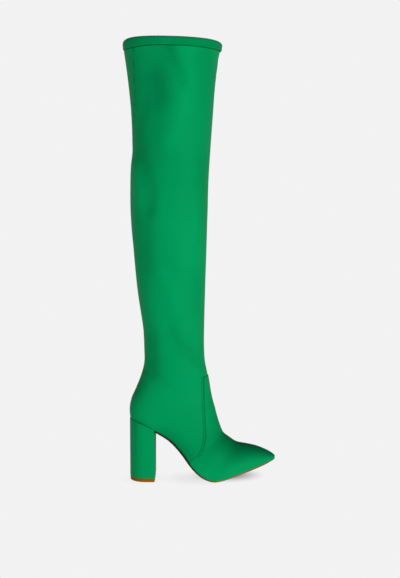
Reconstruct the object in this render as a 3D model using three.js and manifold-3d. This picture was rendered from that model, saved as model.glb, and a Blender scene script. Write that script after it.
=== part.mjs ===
// Over-the-knee boot for the right foot: a stretch satin upper with a lapped vamp and a hemmed
// collar, on a thin outsole and a covered block heel.
// Millimetres. +Z is up and the boot stands on z = 0. +X points to the toe, so the lateral side is -Y.
// Every form is worked out in a last frame whose x = 0 is the back of the counter; the finished
// group is then moved so that its origin is the middle of its footprint.
import * as THREE from 'three';
import { mergeVertices } from 'three/addons/utils/BufferGeometryUtils.js';
import Module from 'manifold-3d';

const wasm = await Module();
wasm.setup();

// Driving sizes
const bootHeight = 656;
const footLength = 219;
const ballWidth = 79;
const heelHeight = 95;
const instepHeight = 66;
const ankleHeight = 105;
const ankleWidth = 72;
const calfWidth = 98;
const toeSpring = 30;

// Walls and layers
const wall = 2;
const gap = 0.3;
const vampThickness = 1.2;
const vampProud = 0.8;
const hemThickness = 1.3;
const hemProud = 0.8;
const hemRounding = 0.9;
const hemHeight = 12.5;
const collarFall = 4;
const insoleThickness = 2.5;

// Sole and heel
const soleThickness = 2;
const soleOverhang = 1.2;
const soleCrown = 4.5;
const treadDip = 0.8;
const heelBreast = 39.2;
const heelBack = 0.8;
const heelTopWidth = 56;
const heelFootWidth = 49;
const heelBackRound = 25;
const tipThickness = 5.5;
const tipInset = 0.4;
const breastCorner = 3;

// Mesh density
const ringPoints = 28;
const outlineSteps = 7;

// How far cutting forms run past what they cut, and how much of a half width the wall may take
const clear = 30;
const tipShrink = 0.7;

// The bottom of the upper in side view, from behind the counter to past the toe. along is a share of
// the foot length, heel a share of the heel height and spring a share of the toe spring. The tread of
// the outsole dips a little below the floor at the ball, where a flat spot is then cut.
const soleLine = [
  { along: -0.06, heel: 1.045, spring: 0 },
  { along: 0.0, heel: 1.0, spring: 0 },
  { along: 0.1, heel: 0.912, spring: 0 },
  { along: 0.195, heel: 0.792, spring: 0 },
  { along: 0.285, heel: 0.659, spring: 0 },
  { along: 0.365, heel: 0.455, spring: 0 },
  { along: 0.438, heel: 0.215, spring: 0 },
  { along: 0.498, heel: 0.08, spring: 0 },
  { along: 0.545, heel: 0.02, spring: 0 },
  { along: 0.585, heel: 0.0, spring: 0.0 },
  { along: 0.66, heel: 0.0, spring: 0.105 },
  { along: 0.775, heel: 0.0, spring: 0.4 },
  { along: 0.905, heel: 0.0, spring: 0.72 },
  { along: 1.04, heel: 0.0, spring: 1.11 },
];

// Sections of the foot, from the toe back. Each stands on the sole line at station and leans
// forward of it by lean degrees from the floor; height and sink are its reach above and below the
// sole line, as shares of the instep height. lateral and medial are half widths and drift is the
// centre's move to the medial side, as shares of the ball width. peak is where the section is
// widest, from its top; upper and lower are the superellipse powers of its two ends.
const footSections = [
  { station: 1.003, lean: 80, height: 0.024, sink: 0.05, lateral: 0.035, medial: 0.035, drift: 0.06, peak: 0.45, upper: 2, lower: 2 },
  { station: 0.99, lean: 78, height: 0.078, sink: 0.1, lateral: 0.085, medial: 0.085, drift: 0.06, peak: 0.42, upper: 2, lower: 2 },
  { station: 0.959, lean: 76, height: 0.18, sink: 0.2, lateral: 0.15, medial: 0.145, drift: 0.055, peak: 0.46, upper: 2, lower: 2.2 },
  { station: 0.905, lean: 74, height: 0.327, sink: 0.31, lateral: 0.225, medial: 0.215, drift: 0.048, peak: 0.5, upper: 2, lower: 2.3 },
  { station: 0.827, lean: 71.5, height: 0.503, sink: 0.42, lateral: 0.315, medial: 0.3, drift: 0.038, peak: 0.54, upper: 2, lower: 2.4 },
  { station: 0.731, lean: 68, height: 0.692, sink: 0.49, lateral: 0.4, medial: 0.385, drift: 0.024, peak: 0.6, upper: 2, lower: 2.4 },
  { station: 0.619, lean: 64, height: 0.9, sink: 0.47, lateral: 0.47, medial: 0.465, drift: 0.01, peak: 0.66, upper: 1.95, lower: 2.4 },
  { station: 0.505, lean: 55, height: 1.032, sink: 0.33, lateral: 0.475, medial: 0.46, drift: 0, peak: 0.72, upper: 1.95, lower: 2.4 },
  { station: 0.413, lean: 40, height: 0.998, sink: 0.35, lateral: 0.44, medial: 0.405, drift: -0.005, peak: 0.68, upper: 2, lower: 2.3 },
  { station: 0.335, lean: 27.5, height: 1.06, sink: 0.43, lateral: 0.405, medial: 0.36, drift: -0.005, peak: 0.62, upper: 2, lower: 2.3 },
  { station: 0.226, lean: 18, height: 1.3, sink: 0.44, lateral: 0.39, medial: 0.36, drift: 0, peak: 0.56, upper: 2.05, lower: 2.3 },
  { station: 0.0785, lean: 11.5, height: 1.71, sink: 0.2, lateral: 0.385, medial: 0.375, drift: 0, peak: 0.56, upper: 2.1, lower: 2.4 },
];

// Sections through the counter and the ankle. front and back are shares of the foot length, frontUp
// and backUp shares of the ankle height above the seat, lateral and medial shares of the ankle width.
const ankleSections = [
  { front: 0.57, frontUp: 0.249, back: 0.0, backUp: 0.085, lateral: 0.425, medial: 0.425, peak: 0.56, upper: 2.1, lower: 2.4 },
  { front: 0.556, frontUp: 0.393, back: 0.0115, backUp: 0.265, lateral: 0.43, medial: 0.43, peak: 0.55, upper: 2.1, lower: 2.3 },
  { front: 0.546, frontUp: 0.527, back: 0.0455, backUp: 0.429, lateral: 0.44, medial: 0.44, peak: 0.53, upper: 2.1, lower: 2.2 },
  { front: 0.5335, frontUp: 0.661, back: 0.081, backUp: 0.619, lateral: 0.455, medial: 0.455, peak: 0.52, upper: 2.1, lower: 2.1 },
  { front: 0.52, frontUp: 0.805, back: 0.1015, backUp: 0.794, lateral: 0.475, medial: 0.475, peak: 0.5, upper: 2.1, lower: 2.1 },
  { front: 0.514, frontUp: 1.0, back: 0.102, backUp: 1.0, lateral: 0.5, medial: 0.5, peak: 0.5, upper: 2.1, lower: 2.1 },
];

// Level sections of the leg. up is a share of the height from the ankle to the collar, front and
// back are shares of the foot length, lateral and medial shares of the calf width.
const legSections = [
  { up: 0.07, front: 0.5135, back: 0.0957, lateral: 0.395, medial: 0.395 },
  { up: 0.19, front: 0.519, back: 0.0605, lateral: 0.445, medial: 0.445 },
  { up: 0.31, front: 0.5275, back: 0.035, lateral: 0.48, medial: 0.48 },
  { up: 0.43, front: 0.537, back: 0.017, lateral: 0.5, medial: 0.5 },
  { up: 0.55, front: 0.5425, back: 0.0155, lateral: 0.502, medial: 0.502 },
  { up: 0.67, front: 0.5575, back: 0.029, lateral: 0.5, medial: 0.5 },
  { up: 0.78, front: 0.5755, back: 0.0195, lateral: 0.508, medial: 0.508 },
  { up: 0.885, front: 0.594, back: -0.001, lateral: 0.522, medial: 0.522 },
  { up: 0.955, front: 0.6095, back: -0.0205, lateral: 0.534, medial: 0.534 },
  { up: 0.975, front: 0.624, back: -0.0265, lateral: 0.54, medial: 0.54 },
  { up: 1.0, front: 0.635, back: -0.028, lateral: 0.544, medial: 0.544 },
  { up: 1.04, front: 0.637, back: -0.022, lateral: 0.543, medial: 0.543 },
];
const legPeak = 0.5;
const legPower = 2.1;

// The seam where the vamp laps over the quarter, in side view, from its top corner down. along is a
// share of the foot length and up a share of the vamp's top height.
const vampSeam = [
  { along: 0.4975, up: 0.97 },
  { along: 0.497, up: 0.9 },
  { along: 0.5, up: 0.75 },
  { along: 0.507, up: 0.56 },
  { along: 0.51, up: 0.43 },
  { along: 0.5, up: 0.355 },
  { along: 0.479, up: 0.288 },
  { along: 0.447, up: 0.233 },
  { along: 0.4, up: 0.174 },
];
const collarHeight = bootHeight - collarFall / 2;
const vampTop = heelHeight + 0.61 * ankleHeight;
const vampCorner = 4;

const satinGreen = new THREE.MeshStandardMaterial({ color: '#009657', roughness: 0.55, metalness: 0 });
const soleTan = new THREE.MeshStandardMaterial({ color: '#8a4a10', roughness: 0.5, metalness: 0 });
const tipTan = new THREE.MeshStandardMaterial({ color: '#7d4401', roughness: 0.6, metalness: 0 });
const sockBeige = new THREE.MeshStandardMaterial({ color: '#c9b79b', roughness: 0.8, metalness: 0 });

// A smooth curve through points of (x, z) in side view
function sideCurve(points) {
  return new THREE.CatmullRomCurve3(points.map((p) => new THREE.Vector3(p.x, 0, p.z)));
}

const soleCurve = sideCurve(
  soleLine.map((row) => ({
    x: row.along * footLength,
    z: soleThickness + gap - treadDip + row.heel * (heelHeight - soleThickness) + row.spring * toeSpring,
  })),
);

// The point of the sole line at a station, found by halving, because x grows all along the line
function soleAt(x) {
  let low = 0;
  let high = 1;
  const halvings = 24;
  for (let i = 0; i < halvings; i++) {
    const middle = (low + high) / 2;
    if (soleCurve.getPoint(middle).x < x) low = middle;
    else high = middle;
  }
  return soleCurve.getPoint(low);
}

// The three tables as one list of sections in millimetres
function allSections() {
  const foot = footSections.map((row) => {
    const base = soleAt(row.station * footLength);
    const lean = THREE.MathUtils.degToRad(row.lean);
    const way = new THREE.Vector3(Math.cos(lean), 0, Math.sin(lean));
    return {
      top: base.clone().addScaledVector(way, row.height * instepHeight),
      bottom: base.clone().addScaledVector(way, -row.sink * instepHeight),
      width: new THREE.Vector3(row.lateral, row.medial, row.drift).multiplyScalar(ballWidth),
      shape: new THREE.Vector3(row.peak, row.upper, row.lower),
    };
  });
  const ankle = ankleSections.map((row) => ({
    top: new THREE.Vector3(row.front * footLength, 0, heelHeight + row.frontUp * ankleHeight),
    bottom: new THREE.Vector3(row.back * footLength, 0, heelHeight + row.backUp * ankleHeight),
    width: new THREE.Vector3(row.lateral, row.medial, 0).multiplyScalar(ankleWidth),
    shape: new THREE.Vector3(row.peak, row.upper, row.lower),
  }));
  const ankleTop = heelHeight + ankleHeight;
  const leg = legSections.map((row) => {
    const z = ankleTop + row.up * (bootHeight - ankleTop);
    return {
      top: new THREE.Vector3(row.front * footLength, 0, z),
      bottom: new THREE.Vector3(row.back * footLength, 0, z),
      width: new THREE.Vector3(row.lateral, row.medial, 0).multiplyScalar(calfWidth),
      shape: new THREE.Vector3(legPeak, legPower, legPower),
    };
  });
  return [...foot, ...ankle, ...leg];
}

const sections = allSections();
const curveOf = (column) => new THREE.CatmullRomCurve3(sections.map((section) => section[column]));
const topCurve = curveOf('top');
const bottomCurve = curveOf('bottom');
const widthCurve = curveOf('width');
const shapeCurve = curveOf('shape');

// A point of the last's surface. run goes from 0 at the toe to 1 above the collar; turn is the angle
// round the section, 0 at its top or front, and positive to the medial side.
function surfacePoint(run, turn) {
  const top = topCurve.getPoint(run);
  const bottom = bottomCurve.getPoint(run);
  const width = widthCurve.getPoint(run);
  const shape = shapeCurve.getPoint(run);
  const along = Math.cos(turn);
  const across = Math.sin(turn);
  const power = 2 / (along > 0 ? shape.y : shape.z);
  const reach = Math.abs(along) ** power;
  const place = along > 0 ? shape.x * (1 - reach) : shape.x + (1 - shape.x) * reach;
  const half = across > 0 ? width.y : -width.x;
  const point = top.lerp(bottom, place);
  point.y = width.z + half * Math.abs(across) ** power;
  return point;
}

function surfaceNormal(run, turn) {
  const small = 1e-3;
  const edge = 1e-4;
  const a = surfacePoint(Math.max(run - small, 0), turn);
  const b = surfacePoint(Math.min(run + small, 1), turn);
  const c = surfacePoint(run, turn - edge);
  const d = surfacePoint(run, turn + edge);
  return d.sub(c).cross(b.sub(a)).normalize();
}

function geometryOf(points, triangles) {
  const geometry = new THREE.BufferGeometry().setFromPoints(points);
  geometry.setIndex(triangles.flat());
  return geometry;
}

// A closed geometry through rings of equal point counts, with a fan over each end
function loftGeometry(rings) {
  const count = rings[0].length;
  const middleOf = (ring) =>
    ring.reduce((sum, point) => sum.add(point), new THREE.Vector3()).divideScalar(count);
  const points = [...rings.flat(), middleOf(rings[0]), middleOf(rings.at(-1))];
  const first = rings.length * count;
  const triangles = [];
  for (let j = 0; j < count; j++) {
    const next = (j + 1) % count;
    for (let i = 0; i + 1 < rings.length; i++) {
      const a = i * count + j;
      const b = i * count + next;
      triangles.push([a, b, a + count], [b, b + count, a + count]);
    }
    const last = (rings.length - 1) * count;
    triangles.push([next, j, first], [last + j, last + next, first + 1]);
  }
  return geometryOf(points, triangles);
}

function solidOf(geometry) {
  const bare = geometry.clone();
  for (const name of Object.keys(bare.attributes)) if (name !== 'position') bare.deleteAttribute(name);
  const merged = mergeVertices(bare, 1e-4);
  return new wasm.Manifold(
    new wasm.Mesh({
      numProp: 3,
      vertProperties: new Float32Array(merged.attributes.position.array),
      triVerts: new Uint32Array(merged.index.array),
    }),
  );
}

function meshOf(solid, name, material) {
  const { vertProperties, triVerts } = solid.getMesh();
  const geometry = new THREE.BufferGeometry();
  geometry.setAttribute('position', new THREE.BufferAttribute(new Float32Array(vertProperties), 3));
  geometry.setIndex(new THREE.BufferAttribute(new Uint32Array(triVerts), 1));
  geometry.computeVertexNormals();
  const mesh = new THREE.Mesh(geometry, material);
  mesh.name = name;
  return mesh;
}

const boxSolid = (low, high) => {
  const size = high.map((value, i) => value - low[i]);
  const middle = high.map((value, i) => (value + low[i]) / 2);
  return solidOf(new THREE.BoxGeometry(...size).translate(...middle));
};

// Everything under a plane that meets the collar's middle at a height and falls toward the front
function underCollarPlane(height) {
  const front = legSections.at(-2).front * footLength;
  const back = legSections.at(-2).back * footLength;
  const middle = (front + back) / 2;
  const block = new THREE.BoxGeometry(3 * footLength, footLength, 2 * bootHeight);
  block.translate(0, 0, -bootHeight).rotateY(Math.atan(collarFall / (front - back)));
  return solidOf(block.translate(middle, 0, height));
}

// Rings from one section to the next: more where the last bends
const ringsBetween = (index) => (index > 1 && index < footSections.length + ankleSections.length - 3 ? 2 : 1);

// The last's own form, grown outwards by offset, and closed past the collar. In the toe's narrow
// tip a shrunk form keeps part of each section's half width.
function lastForm(offset) {
  const rings = [];
  const lastIndex = sections.length - 1;
  for (let i = 0; i <= lastIndex; i++) {
    const steps = i < lastIndex ? ringsBetween(i) : 1;
    for (let k = 0; k < steps; k++) {
      const run = (i + k / steps) / lastIndex;
      const room = tipShrink * widthCurve.getPoint(run).x;
      const ring = [];
      for (let j = 0; j < ringPoints; j++) {
        const turn = (2 * Math.PI * j) / ringPoints;
        const normal = surfaceNormal(run, turn);
        ring.push(surfacePoint(run, turn).addScaledVector(normal, Math.max(offset, -room)));
      }
      rings.push(ring);
    }
  }
  return solidOf(loftGeometry(rings));
}

// Everything under the sole surface, which is raised by lift from the sole line and crowned across
function underSole(lift) {
  const stations = 30;
  const across = 10;
  const half = 0.75 * ballWidth;
  const rings = [];
  for (let i = 0; i <= stations; i++) {
    const share = i / stations;
    const point = soleCurve.getPoint(share);
    const tangent = soleCurve.getTangent(share);
    const ring = [];
    for (let k = 0; k <= across; k++) {
      const y = half * (1 - (2 * k) / across);
      const rise = soleCrown * (y / (ballWidth / 2)) ** 2;
      ring.push(new THREE.Vector3(point.x - tangent.z * lift, y, point.z + tangent.x * lift + rise));
    }
    ring.push(new THREE.Vector3(ring.at(-1).x, -half, -ballWidth));
    ring.push(new THREE.Vector3(ring[0].x, half, -ballWidth));
    rings.push(ring);
  }
  return solidOf(loftGeometry(rings));
}

// Everything in front of the vamp's seam and under its top edge, moved back and up by ease
function vampRegion(ease) {
  const seam = vampSeam.map((row) => new THREE.Vector2(row.along * footLength, row.up * vampTop));
  const shape = new THREE.Shape();
  shape.moveTo(footLength + clear, vampTop);
  shape.lineTo(seam[0].x + vampCorner, vampTop);
  shape.quadraticCurveTo(seam[0].x, vampTop, seam[0].x, seam[0].y);
  shape.splineThru(seam.slice(1));
  shape.lineTo(seam.at(-1).x, -clear);
  shape.lineTo(footLength + clear, -clear);
  shape.closePath();
  const depth = 2 * ballWidth;
  const geometry = new THREE.ExtrudeGeometry(shape, { depth, bevelEnabled: false, curveSegments: 3 });
  geometry.rotateX(Math.PI / 2).translate(-ease, depth / 2, ease);
  return solidOf(geometry);
}

// The heel's outline: a straight breast with rounded corners and a round back
function heelOutline(halfWidth, inset) {
  const w = halfWidth - inset;
  const front = heelBreast - inset;
  const round = heelBack + heelBackRound;
  const shape = new THREE.Shape();
  shape.moveTo(front, -w + breastCorner);
  shape.lineTo(front, w - breastCorner);
  shape.quadraticCurveTo(front, w, front - breastCorner, w);
  shape.lineTo(round, w);
  shape.absellipse(round, 0, heelBackRound - inset, w, Math.PI / 2, (3 * Math.PI) / 2, false);
  shape.lineTo(front - breastCorner, -w);
  shape.quadraticCurveTo(front, -w, front, -w + breastCorner);
  const points = shape.getPoints(outlineSteps);
  return points.filter((point, i) => point.distanceTo(points[(i + 1) % points.length]) > gap);
}

// An upright block on the heel's outline, its width changing from foot to top
function heelBlock(low, high, inset) {
  const rings = [low, high].map((z) => {
    const width = THREE.MathUtils.mapLinear(z, 0, heelHeight, heelFootWidth, heelTopWidth);
    return heelOutline(width / 2, inset).map((point) => new THREE.Vector3(point.x, point.y, z));
  });
  return solidOf(loftGeometry(rings));
}

function makeUpper() {
  const vampRecess = vampThickness + gap - vampProud;
  const hemRecess = hemThickness + gap - hemProud;
  const underVamp = vampRegion(gap).subtract(lastForm(-vampRecess));
  const besideHem = lastForm(clear)
    .subtract(lastForm(-hemRecess))
    .subtract(underCollarPlane(collarHeight - hemHeight - gap));
  return lastForm(0)
    .subtract(underVamp)
    .subtract(besideHem)
    .subtract(lastForm(-wall))
    .subtract(underSole(0))
    .intersect(underCollarPlane(collarHeight - hemThickness - gap));
}

function makeVamp() {
  return lastForm(vampProud)
    .subtract(lastForm(vampProud - vampThickness))
    .intersect(vampRegion(0))
    .subtract(underSole(0));
}

// The hem folds over the top edge: an outer leg, a lip and an inner leg
function makeCollarHem() {
  const channel = lastForm(hemProud - hemThickness)
    .subtract(lastForm(-wall - gap))
    .intersect(underCollarPlane(collarHeight - hemThickness));
  const roundedEdge = lastForm(hemProud - hemRounding).add(underCollarPlane(collarHeight - hemRounding));
  return lastForm(hemProud)
    .subtract(lastForm(-wall - gap - hemThickness))
    .intersect(roundedEdge)
    .intersect(underCollarPlane(collarHeight))
    .subtract(underCollarPlane(collarHeight - hemHeight))
    .subtract(channel);
}

function makeOutsole() {
  const frontOfBreast = boxSolid(
    [heelBreast + gap, -ballWidth, 0],
    [footLength + clear, ballWidth, bootHeight],
  );
  return lastForm(soleOverhang)
    .intersect(underSole(-gap))
    .subtract(underSole(-gap - soleThickness))
    .intersect(frontOfBreast);
}

function makeInsole() {
  return lastForm(-wall - gap).intersect(underSole(insoleThickness)).subtract(underSole(gap / 2));
}

function makeHeel() {
  return heelBlock(tipThickness + gap, heelHeight + clear, 0).intersect(underSole(-gap));
}

const boot = new THREE.Group();
boot.add(meshOf(makeUpper(), 'upper', satinGreen));
boot.add(meshOf(makeVamp(), 'vamp', satinGreen));
boot.add(meshOf(makeCollarHem(), 'collar_hem', satinGreen));
boot.add(meshOf(makeOutsole(), 'outsole', soleTan));
boot.add(meshOf(makeInsole(), 'insole', sockBeige));
boot.add(meshOf(makeHeel(), 'heel', satinGreen));
boot.add(meshOf(heelBlock(0, tipThickness, tipInset), 'heel_tip', tipTan));

const bounds = new THREE.Box3().setFromObject(boot);
boot.position.set(-(bounds.min.x + bounds.max.x) / 2, -(bounds.min.y + bounds.max.y) / 2, 0);

export default boot;
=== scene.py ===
"""Over-the-knee boot: fine skins replace the upper, vamp and hem; sole, sock and heel keep the frame."""
import math

import bmesh
import bpy
import numpy as np
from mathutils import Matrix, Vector


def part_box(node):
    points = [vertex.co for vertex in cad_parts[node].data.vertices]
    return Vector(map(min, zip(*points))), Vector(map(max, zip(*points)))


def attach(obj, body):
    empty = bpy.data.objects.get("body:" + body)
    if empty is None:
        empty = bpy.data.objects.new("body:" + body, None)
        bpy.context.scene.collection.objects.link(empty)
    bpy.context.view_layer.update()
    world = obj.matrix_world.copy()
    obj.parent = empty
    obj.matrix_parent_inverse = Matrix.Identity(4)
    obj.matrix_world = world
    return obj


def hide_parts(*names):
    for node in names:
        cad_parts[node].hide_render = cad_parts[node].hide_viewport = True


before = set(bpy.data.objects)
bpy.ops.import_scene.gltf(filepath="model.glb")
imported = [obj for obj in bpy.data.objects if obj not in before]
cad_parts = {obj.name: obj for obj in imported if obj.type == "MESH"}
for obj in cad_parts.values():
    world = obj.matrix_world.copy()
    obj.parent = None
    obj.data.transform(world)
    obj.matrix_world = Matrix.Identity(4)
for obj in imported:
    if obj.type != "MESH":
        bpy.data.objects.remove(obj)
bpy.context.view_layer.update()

MM = 0.001

# Driving sizes of the last, in millimetres
BOOT_HEIGHT = 656
FOOT_LENGTH = 219
BALL_WIDTH = 79
HEEL_HEIGHT = 95
INSTEP_HEIGHT = 66
ANKLE_HEIGHT = 105
ANKLE_WIDTH = 72
CALF_WIDTH = 98
TOE_SPRING = 30
SOLE_THICKNESS = 2
SOLE_CROWN = 4.5
TREAD_DIP = 0.8
GAP = 0.3
COLLAR_FALL = 4
HEM_HEIGHT = 12.5
VAMP_PROUD = 0.8
VAMP_TOP = HEEL_HEIGHT + 0.61 * ANKLE_HEIGHT
COLLAR_HEIGHT = BOOT_HEIGHT - COLLAR_FALL / 2

# Walls of the skins, how far they reach below the sole line, the distance of the vamp's stitched line
# from its rear edge, and a distance at which no stitching shows
WALL = 1.9
VAMP_THICKNESS = 0.7
SKIN_DROP = 0.55
STITCH_FROM_EDGE = 3.0
STITCH_CLEAR = 5.0

# How fine the skins and the hem are: columns round the boot
UPPER_COLUMNS = 129
VAMP_COLUMNS = 97
HEM_COLUMNS = 193

# The sole line in side view: along the foot, up by a share of the heel height and of the toe spring
SOLE_LINE = [
    (-0.06, 1.045, 0), (0.0, 1.0, 0), (0.1, 0.912, 0), (0.195, 0.792, 0), (0.285, 0.659, 0),
    (0.365, 0.455, 0), (0.438, 0.215, 0), (0.498, 0.08, 0), (0.545, 0.02, 0), (0.585, 0.0, 0.0),
    (0.66, 0.0, 0.105), (0.775, 0.0, 0.4), (0.905, 0.0, 0.72), (1.04, 0.0, 1.11),
]

# Foot sections: station, lean, height, sink, lateral, medial, drift, peak, upper, lower
FOOT = [
    (1.003, 80, 0.024, 0.05, 0.035, 0.035, 0.06, 0.45, 2, 2),
    (0.99, 78, 0.078, 0.1, 0.085, 0.085, 0.06, 0.42, 2, 2),
    (0.959, 76, 0.18, 0.2, 0.15, 0.145, 0.055, 0.46, 2, 2.2),
    (0.905, 74, 0.327, 0.31, 0.225, 0.215, 0.048, 0.5, 2, 2.3),
    (0.827, 71.5, 0.503, 0.42, 0.315, 0.3, 0.038, 0.54, 2, 2.4),
    (0.731, 68, 0.692, 0.49, 0.4, 0.385, 0.024, 0.6, 2, 2.4),
    (0.619, 64, 0.9, 0.47, 0.47, 0.465, 0.01, 0.66, 1.95, 2.4),
    (0.505, 55, 1.032, 0.33, 0.475, 0.46, 0, 0.72, 1.95, 2.4),
    (0.413, 40, 0.998, 0.35, 0.43, 0.385, -0.005, 0.68, 2, 2.3),
    (0.335, 27.5, 1.06, 0.43, 0.385, 0.34, -0.005, 0.62, 2, 2.3),
    (0.226, 18, 1.3, 0.44, 0.375, 0.35, 0, 0.56, 2.05, 2.3),
    (0.0785, 11.5, 1.71, 0.2, 0.385, 0.375, 0, 0.56, 2.1, 2.4),
]

# Ankle sections: front, front up, back, back up, half width, peak, upper, lower
ANKLE = [
    (0.57, 0.249, 0.0, 0.085, 0.425, 0.56, 2.1, 2.4),
    (0.556, 0.393, 0.0115, 0.265, 0.43, 0.55, 2.1, 2.3),
    (0.546, 0.527, 0.0455, 0.429, 0.44, 0.53, 2.1, 2.2),
    (0.5335, 0.661, 0.081, 0.619, 0.455, 0.52, 2.1, 2.1),
    (0.52, 0.805, 0.1015, 0.794, 0.475, 0.5, 2.1, 2.1),
    (0.514, 1.0, 0.102, 1.0, 0.5, 0.5, 2.1, 2.1),
]

# Leg sections: up from the ankle to the collar, front, back, half width
LEG = [
    (0.07, 0.5135, 0.0957, 0.395), (0.19, 0.519, 0.0605, 0.445), (0.31, 0.5275, 0.035, 0.48),
    (0.43, 0.537, 0.017, 0.5), (0.55, 0.5425, 0.0155, 0.502), (0.67, 0.5575, 0.029, 0.5),
    (0.78, 0.5755, 0.0195, 0.508), (0.885, 0.594, -0.001, 0.522), (0.955, 0.6095, -0.0205, 0.534),
    (0.975, 0.624, -0.0265, 0.54), (1.0, 0.635, -0.028, 0.544), (1.04, 0.637, -0.022, 0.543),
]
LEG_SHAPE = (0.5, 2.1, 2.1)
COLLAR_FRONT = 0.635 * FOOT_LENGTH
COLLAR_BACK = -0.028 * FOOT_LENGTH

# The vamp's rear seam in side view, from its top corner down
VAMP_SEAM = [
    (0.505, 1.0), (0.4985, 0.992), (0.4972, 0.97), (0.497, 0.9), (0.5, 0.75), (0.507, 0.56), (0.51, 0.43),
    (0.5, 0.355), (0.479, 0.288), (0.447, 0.233), (0.4, 0.174), (0.33, 0.1),
]

# Folds of the shaft seen on its outer side: points of (x, z) in millimetres, half width, height
FOLDS = [
    ([(62, 640), (72, 620), (83, 594)], 8, -2.1),
    ([(41, 600), (46, 574)], 17, -3.0),
    ([(84, 634), (88, 604), (79, 566), (62, 512)], 15, 2.0),
    ([(27, 572), (26, 545)], 7, -0.9),
    ([(18, 545), (16, 514)], 7, -0.6),
    ([(16, 492), (29, 458), (38, 440), (34, 412)], 11, -1.9),
    ([(30, 410), (27, 320)], 9, -0.9),
    ([(13, 474), (15, 420)], 7, 1.2),
    ([(101, 438), (102, 336)], 7, 0.8),
    ([(50, 318), (65, 295), (71, 272)], 9, 1.2),
    ([(62, 230), (79, 205), (99, 193), (100, 182)], 8, -1.6),
    ([(102, 246), (102, 168)], 6, 0.7),
    ([(35, 222), (36, 168)], 10, -1.6),
    ([(27, 170), (44, 160), (54, 150)], 5, -1.3),
    ([(110, 486), (111, 440)], 6, -0.8),
    ([(134, 645), (133, 632)], 7, 1.2),
]

# Painted shade: soft dark zones without relief, on the same side: points, half width, darkness
SHADES = [
    ([(52, 640), (54, 560), (42, 490)], 20, 0.1),
    ([(56, 70), (77, 51), (91, 33)], 13, 0.28),
]

# On the inner side all of them lie a little lower, and are softer
INNER_DROP = 14.0
INNER_SHARE = 0.6

# Slow, shallow waves of the leg, from above the ankle
WAVE_HEIGHT = 0.35
WAVE_START = 170
WAVE_RISE = 80
WAVE_UP = 0.031
WAVE_ALONG = 0.045

# Painted shade: how much darker the satin's colour is made where it faces up or down, and in a trough of one
# millimetre
PAINTED_SHADE_UP = 0.44
PAINTED_SHADE_DOWN = 0.3
PAINTED_SHADE_TROUGH = 0.09
PAINTED_SHADE_BLURS = 24


SMALLEST_STEP = 1e-4


def row_curve(rows):
    """The rows as an array for a centripetal spline."""
    return np.array(rows, dtype=float)


def spline(rows, share):
    """A point of the centripetal spline through rows, at a share of its number of steps."""
    last = len(rows) - 1
    place = share * last
    index = min(int(place), last - 1)
    w = place - index
    b = rows[index]
    c = rows[index + 1]
    a = rows[index - 1] if index > 0 else 2 * b - c
    d = rows[index + 2] if index + 2 <= last else 2 * c - b
    steps = [math.sqrt(np.linalg.norm(q - p)) for p, q in ((a, b), (b, c), (c, d))]
    if steps[1] < SMALLEST_STEP:
        steps[1] = 1.0
    steps = [step if step >= SMALLEST_STEP else steps[1] for step in steps]
    before, middle, after = steps
    t1 = ((b - a) / before - (c - a) / (before + middle) + (c - b) / middle) * middle
    t2 = ((c - b) / middle - (d - b) / (middle + after) + (d - c) / after) * middle
    return b + t1 * w + (-3 * b + 3 * c - 2 * t1 - t2) * w**2 + (2 * b - 2 * c + t1 + t2) * w**3


sole_rows = row_curve([
    (along * FOOT_LENGTH, 0,
     SOLE_THICKNESS + GAP - TREAD_DIP + heel * (HEEL_HEIGHT - SOLE_THICKNESS) + spring * TOE_SPRING)
    for along, heel, spring in SOLE_LINE
])
sole_points = np.array([spline(sole_rows, share) for share in np.linspace(0, 1, 600)])


def sole_height(x, y):
    """Height of the bottom of the upper at a place in plan."""
    return np.interp(x, sole_points[:, 0], sole_points[:, 2]) + SOLE_CROWN * (y / (BALL_WIDTH / 2)) ** 2


def section_rows():
    """Tops, bottoms, half widths and shapes of all sections, from the toe to above the collar."""
    tops, bottoms, widths, shapes = [], [], [], []
    for station, lean, height, sink, lateral, medial, drift, peak, upper, lower in FOOT:
        x = station * FOOT_LENGTH
        base = np.array([x, 0, np.interp(x, sole_points[:, 0], sole_points[:, 2])])
        way = np.array([math.cos(math.radians(lean)), 0, math.sin(math.radians(lean))])
        tops.append(base + way * height * INSTEP_HEIGHT)
        bottoms.append(base - way * sink * INSTEP_HEIGHT)
        widths.append(np.array([lateral, medial, drift]) * BALL_WIDTH)
        shapes.append((peak, upper, lower))
    for front, front_up, back, back_up, half, peak, upper, lower in ANKLE:
        tops.append((front * FOOT_LENGTH, 0, HEEL_HEIGHT + front_up * ANKLE_HEIGHT))
        bottoms.append((back * FOOT_LENGTH, 0, HEEL_HEIGHT + back_up * ANKLE_HEIGHT))
        widths.append((half * ANKLE_WIDTH, half * ANKLE_WIDTH, 0))
        shapes.append((peak, upper, lower))
    ankle_top = HEEL_HEIGHT + ANKLE_HEIGHT
    for up, front, back, half in LEG:
        z = ankle_top + up * (BOOT_HEIGHT - ankle_top)
        tops.append((front * FOOT_LENGTH, 0, z))
        bottoms.append((back * FOOT_LENGTH, 0, z))
        widths.append((half * CALF_WIDTH, half * CALF_WIDTH, 0))
        shapes.append(LEG_SHAPE)
    return [row_curve(rows) for rows in (tops, bottoms, widths, shapes)]


TOPS, BOTTOMS, WIDTHS, SHAPES = section_rows()


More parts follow.
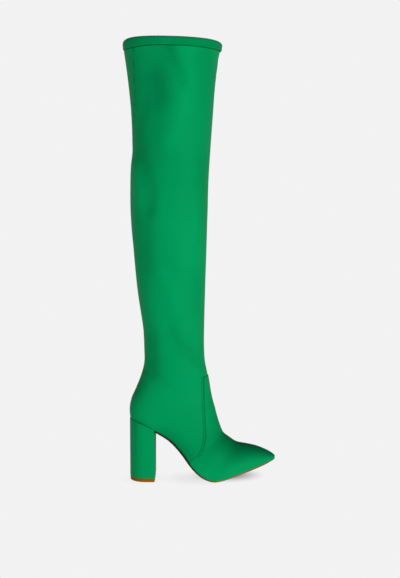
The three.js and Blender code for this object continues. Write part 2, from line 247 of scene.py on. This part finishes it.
def ring(run, turns):
    """Points of the last round one section; turn 0 is its top or front, positive is medial."""
    top, bottom, width, shape = (spline(rows, run) for rows in (TOPS, BOTTOMS, WIDTHS, SHAPES))
    along = np.cos(turns)
    across = np.sin(turns)
    power = np.where(along > 0, 2 / shape[1], 2 / shape[2])
    reach = np.abs(along) ** power
    place = np.where(along > 0, shape[0] * (1 - reach), shape[0] + (1 - shape[0]) * reach)
    half = np.where(across > 0, width[1], -width[0])
    points = top + (bottom - top) * place[:, None]
    points[:, 1] = width[2] + half * np.abs(across) ** power
    return points


# The last starts at the back of the counter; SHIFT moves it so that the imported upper's back fits its own
probe = np.concatenate([ring(run, np.linspace(-math.pi, math.pi, 60)) for run in np.linspace(0.5, 0.985, 80)])
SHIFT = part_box("upper")[0][0] / MM - probe[:, 0].min()


def edge_turn(run, side, test):
    """How far round the section a region reaches on one side, refined by halving twelve times."""
    samples = np.linspace(0, math.pi, 181)
    inside = test(ring(run, side * samples))
    if inside.all():
        return math.pi
    first = int(np.nonzero(~inside)[0][0])
    if first == 0:
        return 0.0
    low, high = samples[first - 1], samples[first]
    for _ in range(12):
        middle = (low + high) / 2
        if test(ring(run, np.array([side * middle])))[0]:
            low = middle
        else:
            high = middle
    return low


def above_sole(points):
    """Down to a little under the sole line, so that the skins meet the sole and the heel closed."""
    return points[:, 2] >= sole_height(points[:, 0], points[:, 1]) - SKIN_DROP


seam_rows = row_curve([(along * FOOT_LENGTH, 0, up * VAMP_TOP) for along, up in VAMP_SEAM])
seam_points = np.array([spline(seam_rows, share) for share in np.linspace(0, 1, 200)])[::-1]


def seam_x(z):
    """Place of the vamp's rear seam along the foot, at a height."""
    return np.interp(z, seam_points[:, 2], seam_points[:, 0])


def in_vamp(points):
    """In front of the rear seam, under the vamp's top edge and down to the sole."""
    return above_sole(points) & (points[:, 2] < VAMP_TOP) & (points[:, 0] > seam_x(points[:, 2]))


def along_line(points, line, half_width):
    """How near points are to a line in side view, from 1 on it to 0 away from it."""
    inner = points[:, 1] > 0
    nearest = np.full(len(points), np.inf)
    x = points[:, 0]
    z = points[:, 2] + np.where(inner, INNER_DROP, 0.0)
    for (x0, z0), (x1, z1) in zip(line[:-1], line[1:]):
        dx, dz = x1 - x0, z1 - z0
        share = np.clip(((x - x0) * dx + (z - z0) * dz) / (dx**2 + dz**2), 0, 1)
        nearest = np.minimum(nearest, np.hypot(x - x0 - share * dx, z - z0 - share * dz))
    return np.exp(-((nearest / half_width) ** 2)) * np.where(inner, INNER_SHARE, 1.0)


def fold_height(points):
    """The height of the folds and the leg's waves over the smooth last."""
    total = np.zeros(len(points))
    for line, half_width, height in FOLDS:
        total += height * along_line(points, line, half_width)
    leg = np.clip((points[:, 2] - WAVE_START) / WAVE_RISE, 0, 1)
    wave = np.sin(points[:, 2] * WAVE_UP + points[:, 0] * WAVE_ALONG + np.sign(points[:, 1]))
    return total + WAVE_HEIGHT * leg * wave


def smooth_step(values, low, high):
    """0 below low, 1 above high, with an even rise between."""
    share = np.clip((values - low) / (high - low), 0, 1)
    return share * share * (3 - 2 * share)


def grid_normals(grid):
    """Outward directions at the points of a grid of rings."""
    along = np.gradient(grid, axis=0)
    across = np.gradient(grid, axis=1)
    normals = np.cross(across, along)
    length = np.linalg.norm(normals, axis=2, keepdims=True)
    return normals / np.maximum(length, 1e-9)


def surface_grid(runs, columns, test, offset, folds=True):
    """Rows of surface points between the region's two edges, and the painted shade at each.

    Painted shade: the colour is made darker where the surface faces up or down, and in the troughs of its
    folds.
    """
    rows = []
    shares = np.linspace(-1, 1, columns)
    for run in runs:
        lateral = edge_turn(run, -1, test)
        medial = edge_turn(run, 1, test)
        turns = np.where(shares < 0, shares * lateral, shares * medial)
        rows.append(ring(run, turns))
    grid = np.array(rows)
    normals = grid_normals(grid)
    height = np.full(grid.shape[:2], float(offset))
    fold = np.zeros(grid.shape[:2])
    if folds:
        fold = fold_height(grid.reshape(-1, 3)).reshape(grid.shape[:2])
    up = normals[:, :, 2]
    # Painted shade: darker where the surface faces up or down
    tone = 1 - PAINTED_SHADE_UP * smooth_step(up, 0.05, 0.8) - PAINTED_SHADE_DOWN * smooth_step(-up, 0.25, 0.7)
    if folds:
        # Painted shade: darker in the troughs of the folds
        tone *= np.clip(1 + PAINTED_SHADE_TROUGH * fold, 0.6, 1.1)
        # Painted shade: the SHADES zones darken the colour
        for line, half_width, darkness in SHADES:
            tone *= 1 - darkness * along_line(grid.reshape(-1, 3), line, half_width).reshape(tone.shape)
    for _ in range(PAINTED_SHADE_BLURS):
        tone[1:-1] = (tone[:-2] + 2 * tone[1:-1] + tone[2:]) / 4
    return grid + normals * (height + fold)[:, :, None], tone


# Vertices nearer than this many metres are one
DOUBLES = 0.00002


def mesh_from_grid(name, grid, attributes=(), close_tip=False):
    """A mesh of one grid whose vertices are laid on the given rows; equal edges are merged."""
    rows, columns = grid.shape[:2]
    bm = bmesh.new()
    bmesh.ops.create_grid(bm, x_segments=columns - 1, y_segments=rows - 1, size=1)
    bm.verts.ensure_lookup_table()
    layers = [(bm.verts.layers.float.new(label), values) for label, values in attributes]
    for index, vert in enumerate(bm.verts):
        i, j = divmod(index, columns)
        x, y, z = grid[i, j]
        vert.co = Vector(((x + SHIFT) * MM, y * MM, z * MM))
        for layer, values in layers:
            vert[layer] = float(values[i, j])
    if close_tip:
        tip = bm.verts[0:columns]
        middle = sum((vert.co for vert in tip), Vector()) / columns
        for vert in tip:
            vert.co = middle
    bmesh.ops.remove_doubles(bm, verts=bm.verts, dist=DOUBLES)
    bmesh.ops.recalc_face_normals(bm, faces=bm.faces)
    mesh = bpy.data.meshes.new(name)
    bm.to_mesh(mesh)
    bm.free()
    for polygon in mesh.polygons:
        polygon.use_smooth = True
    piece = bpy.data.objects.new(name, mesh)
    bpy.context.scene.collection.objects.link(piece)
    return piece


def outward(piece):
    """Turns the faces out when most of them look at the leg's middle line."""
    mesh = piece.data
    score = 0.0
    for polygon in mesh.polygons:
        score += polygon.normal.y * polygon.center.y
    if score < 0:
        mesh.flip_normals()


def add_wall(piece, thickness):
    """Gives a skin its wall, inwards, with a closed rim."""
    modifier = piece.modifiers.new("wall", "SOLIDIFY")
    modifier.thickness = thickness * MM
    modifier.offset = -1
    modifier.use_rim = True


# Materials
def new_material(name):
    """A material with its node tree and its shader."""
    material = bpy.data.materials.new(name)
    material.use_nodes = True
    nodes = material.node_tree.nodes
    shader = nodes["Principled BSDF"]
    return material, material.node_tree, shader


def link(tree, source, target):
    tree.links.new(source, target)


def add_node(tree, kind, **values):
    """A shader node whose inputs, or else settings, have the given values."""
    node = tree.nodes.new(kind)
    for label, value in values.items():
        if label in node.inputs:
            node.inputs[label].default_value = value
        else:
            setattr(node, label, value)
    return node


def satin_material(name, light, dark, seam_attribute=None):
    """Stretch satin: a fine weave with slubs, and a slight cloudiness of the dye.

    A skin with a seam has it as a groove darkened with painted shade where its seam attribute is near 0, and
    reads its painted shade attribute.
    """
    material, tree, shader = new_material(name)
    place = add_node(tree, "ShaderNodeTexCoord")
    clouds = add_node(tree, "ShaderNodeTexNoise", Scale=14.0, Detail=3.0)
    link(tree, place.outputs["Object"], clouds.inputs["Vector"])
    tone = add_node(tree, "ShaderNodeMix", data_type="RGBA")
    tone.inputs["A"].default_value = (*dark, 1)
    tone.inputs["B"].default_value = (*light, 1)
    link(tree, clouds.outputs["Fac"], tone.inputs["Factor"])
    colour = tone.outputs["Result"]
    mapping = add_node(tree, "ShaderNodeMapping")
    mapping.inputs["Scale"].default_value = (1, 1, 0.55)
    link(tree, place.outputs["Object"], mapping.inputs["Vector"])
    weave = add_node(tree, "ShaderNodeTexNoise", Scale=1600.0, Detail=2.0)
    link(tree, mapping.outputs["Vector"], weave.inputs["Vector"])
    slub = add_node(tree, "ShaderNodeTexNoise", Scale=260.0, Detail=2.0)
    link(tree, mapping.outputs["Vector"], slub.inputs["Vector"])
    fine = add_node(tree, "ShaderNodeBump", Strength=0.18, Distance=0.0003)
    link(tree, weave.outputs["Fac"], fine.inputs["Height"])
    coarse = add_node(tree, "ShaderNodeBump", Strength=0.1, Distance=0.0006)
    link(tree, slub.outputs["Fac"], coarse.inputs["Height"])
    link(tree, fine.outputs["Normal"], coarse.inputs["Normal"])
    surface = coarse.outputs["Normal"]
    if seam_attribute:
        distance = add_node(tree, "ShaderNodeAttribute", attribute_name=seam_attribute)
        groove = add_node(tree, "ShaderNodeMapRange", interpolation_type="SMOOTHSTEP")
        groove.inputs["From Min"].default_value = 0.0
        groove.inputs["From Max"].default_value = 1.1
        link(tree, distance.outputs["Fac"], groove.inputs["Value"])
        crease = add_node(tree, "ShaderNodeBump", Strength=0.9, Distance=0.0009)
        link(tree, groove.outputs["Result"], crease.inputs["Height"])
        link(tree, surface, crease.inputs["Normal"])
        surface = crease.outputs["Normal"]
        # Painted shade: darker colour in the seam's groove and in the line under the hem
        shade = add_node(tree, "ShaderNodeMix", data_type="RGBA")
        shade.inputs["A"].default_value = (*(0.42 * value for value in dark), 1)
        link(tree, groove.outputs["Result"], shade.inputs["Factor"])
        link(tree, colour, shade.inputs["B"])
        colour = shade.outputs["Result"]
        # Painted shade: the skin's attribute scales its colour down
        painted_shade = add_node(tree, "ShaderNodeAttribute", attribute_name="painted_shade")
        shaded_colour = add_node(tree, "ShaderNodeVectorMath", operation="SCALE")
        link(tree, colour, shaded_colour.inputs[0])
        link(tree, painted_shade.outputs["Fac"], shaded_colour.inputs["Scale"])
        colour = shaded_colour.outputs["Vector"]
    link(tree, colour, shader.inputs["Base Color"])
    link(tree, surface, shader.inputs["Normal"])
    shader.inputs["Roughness"].default_value = 0.5
    shader.inputs["Specular IOR Level"].default_value = 0.07
    shader.inputs["Specular Tint"].default_value = (0.1, 1.0, 0.6, 1)
    return material


def stain_and_shade_material(name, light, dark, roughness, scale, stretch=(1, 1, 1), waist=None):
    """A worn, stained finish for the sole's edge, the tip and the sock; waist is a painted shade colour for
    the sole's edge at the arch.
    """
    material, tree, shader = new_material(name)
    place = add_node(tree, "ShaderNodeTexCoord")
    mapping = add_node(tree, "ShaderNodeMapping")
    mapping.inputs["Scale"].default_value = stretch
    link(tree, place.outputs["Object"], mapping.inputs["Vector"])
    grain = add_node(tree, "ShaderNodeTexNoise", Scale=scale, Detail=5.0)
    link(tree, mapping.outputs["Vector"], grain.inputs["Vector"])
    tone = add_node(tree, "ShaderNodeMix", data_type="RGBA")
    tone.inputs["A"].default_value = (*dark, 1)
    tone.inputs["B"].default_value = (*light, 1)
    link(tree, grain.outputs["Fac"], tone.inputs["Factor"])
    bump = add_node(tree, "ShaderNodeBump", Strength=0.2, Distance=0.0004)
    link(tree, grain.outputs["Fac"], bump.inputs["Height"])
    colour = tone.outputs["Result"]
    # Painted shade: the colour turns to the waist colour behind the forefoot
    if waist:
        parts = add_node(tree, "ShaderNodeSeparateXYZ")
        link(tree, place.outputs["Object"], parts.inputs["Vector"])
        forefoot = add_node(tree, "ShaderNodeMapRange", interpolation_type="SMOOTHSTEP")
        forefoot.inputs["From Min"].default_value = -0.005
        forefoot.inputs["From Max"].default_value = 0.025
        link(tree, parts.outputs["X"], forefoot.inputs["Value"])
        waist_shade = add_node(tree, "ShaderNodeMix", data_type="RGBA")
        waist_shade.inputs["A"].default_value = (*waist, 1)
        link(tree, forefoot.outputs["Result"], waist_shade.inputs["Factor"])
        link(tree, colour, waist_shade.inputs["B"])
        colour = waist_shade.outputs["Result"]
    link(tree, colour, shader.inputs["Base Color"])
    link(tree, bump.outputs["Normal"], shader.inputs["Normal"])
    shader.inputs["Roughness"].default_value = roughness
    shader.inputs["Specular IOR Level"].default_value = 0.08
    return material


GREEN_LIGHT = (0.0, 0.315, 0.101)
GREEN_DARK = (0.0, 0.272, 0.08)
# The hem's greens are darker copies of the satin's greens: painted shade on the collar's hem
HEM_LIGHT = (0.0, 0.268, 0.082)
HEM_DARK = (0.0, 0.226, 0.064)
satin = satin_material("green_satin", GREEN_LIGHT, GREEN_DARK)
hem_satin = satin_material("green_satin_hem", HEM_LIGHT, HEM_DARK)
shaft_satin = satin_material("green_satin_seamed", GREEN_LIGHT, GREEN_DARK, "back_seam")
vamp_satin = satin_material("green_satin_vamp", GREEN_LIGHT, GREEN_DARK, "topstitch")
sole_stain_and_shade = stain_and_shade_material(
    "sole_tan", (0.32, 0.09, 0.008), (0.16, 0.045, 0.006), 0.45, 90.0, waist=(0.035, 0.016, 0.006),
)
tip_stain = stain_and_shade_material("tip_tan", (0.36, 0.125, 0.0), (0.18, 0.06, 0.0), 0.5, 60.0, (1, 1, 6))
sock_lining = stain_and_shade_material("sock_beige", (0.6, 0.48, 0.33), (0.5, 0.39, 0.26), 0.75, 300.0)


# Upper
def upper_runs():
    """Rows from the toe to under the hem, closest where the counter turns up from the seat."""
    count = len(TOPS) - 1
    foot_end = (len(FOOT) + len(ANKLE) - 1) / count
    hem_run = 27.35 / count
    seat = (len(FOOT) - 1.7) / count
    counter = len(FOOT) / count
    return np.concatenate([
        np.linspace(0, seat, 84, endpoint=False),
        np.linspace(seat, counter, 44, endpoint=False),
        np.linspace(counter, foot_end, 40, endpoint=False),
        np.linspace(foot_end, hem_run, 150),
    ])


# The back seam comes round to the outer side toward the collar: height, and way from the middle
BACK_SEAM = [(440, 0), (500, 10), (547, 22.5), (572, 26), (597, 29), (642, 34.5), (656, 36)]
FAR_FROM_SEAM = 50

# How far under the hem's lower edge its line of painted shadow lies on the shaft
HEM_LINE_DROP = 1.2


def back_seam_distance(grid):
    """Distance in millimetres from the shaft's back seam, or FAR_FROM_SEAM."""
    heights, ways = zip(*BACK_SEAM)
    away = np.abs(grid[:, :, 1] + np.interp(grid[:, :, 2], heights, ways))
    middle = (grid[:, :, 0].min(axis=1, keepdims=True) + grid[:, :, 0].max(axis=1, keepdims=True)) / 2
    behind = (grid[:, :, 0] < middle) & (grid[:, :, 2] > HEEL_HEIGHT + 2)
    return np.where(behind, np.minimum(away, FAR_FROM_SEAM), FAR_FROM_SEAM)


def make_upper():
    grid, tone = surface_grid(upper_runs(), UPPER_COLUMNS, above_sole, 0)
    drop = collar_plane(grid[:, :, 0]) - grid[:, :, 2]
    below_hem = np.abs(drop - HEM_HEIGHT - HEM_LINE_DROP - hem_sag(grid[:, :, 0]))
    seam = np.minimum(back_seam_distance(grid), below_hem)
    piece = mesh_from_grid("upper_skin", grid, [("back_seam", seam), ("painted_shade", tone)], close_tip=True)
    outward(piece)
    add_wall(piece, WALL)
    piece.data.materials.append(shaft_satin)
    return piece


def make_vamp():
    toe_end = 6 / (len(TOPS) - 1)
    under_top = [run for run in np.linspace(0.2, 0.7, 400) if spline(TOPS, run)[2] < VAMP_TOP - 0.2]
    toe_runs = np.linspace(0, toe_end, 50, endpoint=False)
    runs = np.concatenate([toe_runs, np.linspace(toe_end, under_top[-1], 90)])
    grid, tone = surface_grid(runs, VAMP_COLUMNS, in_vamp, VAMP_PROUD, folds=False)
    rear = np.abs(grid[:, :, 0] - seam_x(grid[:, :, 2]))
    stitch = np.abs(rear - STITCH_FROM_EDGE)
    at_sole = grid[:, :, 2] < sole_height(grid[:, :, 0], grid[:, :, 1]) + 0.5
    stitch = np.where(at_sole, STITCH_CLEAR, stitch)
    piece = mesh_from_grid("vamp_skin", grid, [("topstitch", stitch), ("painted_shade", tone)], close_tip=True)
    outward(piece)
    add_wall(piece, VAMP_THICKNESS)
    piece.data.materials.append(vamp_satin)
    return piece


# Collar hem: profile points of drop under the rim and reach outwards
HEM_PROFILE = [
    (13.2, -0.7), (12.7, 0.15), (11.9, 0.62), (10.6, 0.78), (9.4, 0.6), (8.2, 0.8), (6.0, 0.9), (3.6, 0.85),
    (1.8, 0.5), (0.7, -0.1), (0.1, -0.9), (0.1, -1.8), (0.9, -2.8), (2.6, -3.3), (7.0, -3.4), (13.2, -3.4),
]


# How much the rim dips behind and in front, and over what angle in radians
BACK_DIP = 3.2
FRONT_DIP = 2.6
CORNER_SPREAD = 0.5


def collar_plane(x):
    """Height of the collar's rim at a place along the foot."""
    middle = (COLLAR_FRONT + COLLAR_BACK) / 2
    return COLLAR_HEIGHT - (x - middle) * COLLAR_FALL / (COLLAR_FRONT - COLLAR_BACK)


def hem_sag(x):
    """How much lower than the plain hem its lower edge hangs: more behind and a little in front."""
    share = (x - COLLAR_BACK) / (COLLAR_FRONT - COLLAR_BACK)
    return 3.4 * np.exp(-((share / 0.2) ** 2)) + 1.2 * np.exp(-(((1 - share) / 0.15) ** 2)) - 1.0


def make_hem():
    """The folded hem: its profile laid round the collar, its rim lower behind and in front."""
    turns = np.linspace(-math.pi, math.pi, HEM_COLUMNS)
    runs = np.linspace(0.93, 0.9999, 60)
    block = np.array([ring(run, turns) for run in runs])
    normals = grid_normals(block)
    normals[:, :, 2] = 0
    normals /= np.linalg.norm(normals, axis=2, keepdims=True)
    rows = []
    behind = np.exp(-(((math.pi - np.abs(turns)) / CORNER_SPREAD) ** 2))
    in_front = np.exp(-((turns / CORNER_SPREAD) ** 2))
    corner_dip = BACK_DIP * behind + FRONT_DIP * in_front
    for drop, reach in HEM_PROFILE:
        row = []
        for j in range(HEM_COLUMNS):
            heights = block[:, j, 2]
            rim_x = np.interp(BOOT_HEIGHT, heights, block[:, j, 0])
            dip = corner_dip[j] * max(0, 1 - drop / HEM_HEIGHT)
            z = collar_plane(rim_x) - drop - dip - hem_sag(rim_x) * drop / HEM_HEIGHT
            point = np.array([np.interp(z, heights, block[:, j, axis]) for axis in range(3)])
            point[2] = z
            normal = np.array([np.interp(z, heights, normals[:, j, axis]) for axis in range(3)])
            wobble = 0.12 * math.sin(5 * turns[j] + 0.6) + 0.1 * math.sin(9 * turns[j])
            fold = fold_height(point[None, :])[0]
            row.append(point + normal * (reach + fold + wobble * min(1, drop / 6)))
        rows.append(row)
    grid = np.array(rows)
    grid = np.concatenate([grid, grid[:1]])
    piece = mesh_from_grid("hem_roll", grid)
    modifier = piece.modifiers.new("round", "SUBSURF")
    modifier.levels = 1
    modifier.render_levels = 1
    piece.data.materials.append(hem_satin)
    return piece


upper_skin = make_upper()
vamp_skin = make_vamp()
hem_roll = make_hem()
for piece, nodes in ((upper_skin, ["upper"]), (vamp_skin, ["vamp"]), (hem_roll, ["collar_hem"])):
    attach(piece, "root")
    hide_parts(*nodes)


# Sole and heel keep their solids
def finish_node(name, material, bevel=0.0):
    """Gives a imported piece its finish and, where it is hard, small rounded edges in millimetres."""
    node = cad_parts[name]
    node.data.materials.clear()
    node.data.materials.append(material)
    if bevel:
        weld = node.modifiers.new("weld", "WELD")
        weld.merge_threshold = DOUBLES / 2
        modifier = node.modifiers.new("edge", "BEVEL")
        modifier.width = bevel * MM
        modifier.segments = 3
        modifier.limit_method = "ANGLE"
        modifier.angle_limit = math.radians(40)
        modifier.harden_normals = True
        for polygon in node.data.polygons:
            polygon.use_smooth = True


finish_node("heel", satin, 0.7)
finish_node("heel_tip", tip_stain, 0.4)
finish_node("outsole", sole_stain_and_shade)
finish_node("insole", sock_lining)


# Soft shadows on the floor, in metres: middle, half sizes, depth
FLOOR_SHADOWS = [
    ((0.043, 0.018), (0.062, 0.048), 0.8),
    ((0.0, 0.0), (0.075, 0.05), 0.14),
    ((-0.088, 0.0), (0.04, 0.045), 0.08),
]
FLOOR_RADIUS = 0.3


def floor_material():
    """Clear floor that only darkens what is seen through it, softly, under the forefoot and the heel."""
    material, tree, shader = new_material("floor_shadow")
    tree.nodes.remove(shader)
    place = add_node(tree, "ShaderNodeTexCoord")
    shadow = None
    for (x, y), (long, wide), depth in FLOOR_SHADOWS:
        mapping = add_node(tree, "ShaderNodeMapping", vector_type="TEXTURE")
        mapping.inputs["Location"].default_value = (x, y, 0)
        mapping.inputs["Scale"].default_value = (long, wide, 1)
        link(tree, place.outputs["Object"], mapping.inputs["Vector"])
        length = add_node(tree, "ShaderNodeVectorMath", operation="LENGTH")
        link(tree, mapping.outputs["Vector"], length.inputs[0])
        fade = add_node(tree, "ShaderNodeMapRange", interpolation_type="SMOOTHSTEP")
        fade.inputs["From Min"].default_value = 0.0
        fade.inputs["From Max"].default_value = 1.0
        fade.inputs["To Min"].default_value = 1 - depth
        fade.inputs["To Max"].default_value = 1.0
        link(tree, length.outputs["Value"], fade.inputs["Value"])
        if shadow is None:
            shadow = fade.outputs["Result"]
            continue
        both = add_node(tree, "ShaderNodeMath", operation="MULTIPLY")
        link(tree, shadow, both.inputs[0])
        link(tree, fade.outputs["Result"], both.inputs[1])
        shadow = both.outputs["Value"]
    clear = add_node(tree, "ShaderNodeBsdfTransparent")
    link(tree, shadow, clear.inputs["Color"])
    link(tree, clear.outputs["BSDF"], tree.nodes["Material Output"].inputs["Surface"])
    return material


def make_floor():
    """The clear floor."""
    bm = bmesh.new()
    bmesh.ops.create_circle(bm, cap_ends=True, segments=48, radius=FLOOR_RADIUS)
    mesh = bpy.data.meshes.new("floor")
    bm.to_mesh(mesh)
    bm.free()
    floor = bpy.data.objects.new("floor", mesh)
    bpy.context.scene.collection.objects.link(floor)
    mesh.materials.append(floor_material())


def aim(thing, target):
    """Turns a lamp to look at a point."""
    direction = Vector(target) - thing.location
    thing.rotation_euler = direction.to_track_quat("-Z", "Y").to_euler()


def add_light(name, place, power):
    """A square lamp turned to the boot."""
    data = bpy.data.lights.new(name, "AREA")
    data.size = LAMP_SIZE
    data.energy = power
    lamp = bpy.data.objects.new(name, data)
    bpy.context.scene.collection.objects.link(lamp)
    lamp.location = place
    aim(lamp, LAMP_TARGET)


def make_world():
    """Soft light that is weaker from above, and a pale backdrop where the camera looks past the boot."""
    world = bpy.data.worlds.new("studio")
    bpy.context.scene.world = world
    world.use_nodes = True
    tree = world.node_tree
    place = add_node(tree, "ShaderNodeTexCoord")
    parts = add_node(tree, "ShaderNodeSeparateXYZ")
    link(tree, place.outputs["Generated"], parts.inputs["Vector"])
    height = add_node(tree, "ShaderNodeMapRange", interpolation_type="SMOOTHSTEP")
    height.inputs["From Min"].default_value = 0.0
    height.inputs["From Max"].default_value = 0.6
    height.inputs["To Min"].default_value = AMBIENT_SIDE
    height.inputs["To Max"].default_value = AMBIENT_TOP
    link(tree, parts.outputs["Z"], height.inputs["Value"])
    ambient = tree.nodes["Background"]
    ambient.inputs["Color"].default_value = (1, 1, 1, 1)
    link(tree, height.outputs["Result"], ambient.inputs["Strength"])
    backdrop = add_node(tree, "ShaderNodeBackground", Color=(1, 1, 1, 1), Strength=BACKDROP)
    path = add_node(tree, "ShaderNodeLightPath")
    mix = add_node(tree, "ShaderNodeMixShader")
    link(tree, path.outputs["Is Camera Ray"], mix.inputs["Fac"])
    link(tree, ambient.outputs["Background"], mix.inputs[1])
    link(tree, backdrop.outputs["Background"], mix.inputs[2])
    link(tree, mix.outputs["Shader"], tree.nodes["World Output"].inputs["Surface"])


AMBIENT_SIDE = 0.41
AMBIENT_TOP = 0.03
BACKDROP = 0.888
LAMP_SIZE = 0.9
LAMP_TARGET = (0, 0, 0.25)
bpy.context.scene.view_settings.view_transform = "Standard"
bpy.context.scene.view_settings.look = "None"
make_floor()
make_world()
add_light("key_low_right", (1.25, -1.55, 0.15), 28)
add_light("fill_low_left", (-1.1, -1.3, 0.2), 8)

# The camera stands off the outer side and looks slightly down, as in the photograph
CAMERA_HEIGHT = 0.43
CAMERA_DISTANCE = 1.55
CAMERA_PITCH = 5.2
FOCAL_PIXELS = 1039
FRAME_HEIGHT = 578
SENSOR_MM = 36
camera_data = bpy.data.cameras.new("camera")
camera_data.sensor_width = SENSOR_MM
camera_data.lens = FOCAL_PIXELS / FRAME_HEIGHT * SENSOR_MM
camera = bpy.data.objects.new("camera", camera_data)
camera.location = (0, -CAMERA_DISTANCE, CAMERA_HEIGHT)
camera.rotation_euler = (math.radians(90 - CAMERA_PITCH), 0, 0)
bpy.context.scene.collection.objects.link(camera)
bpy.context.scene.camera = camera
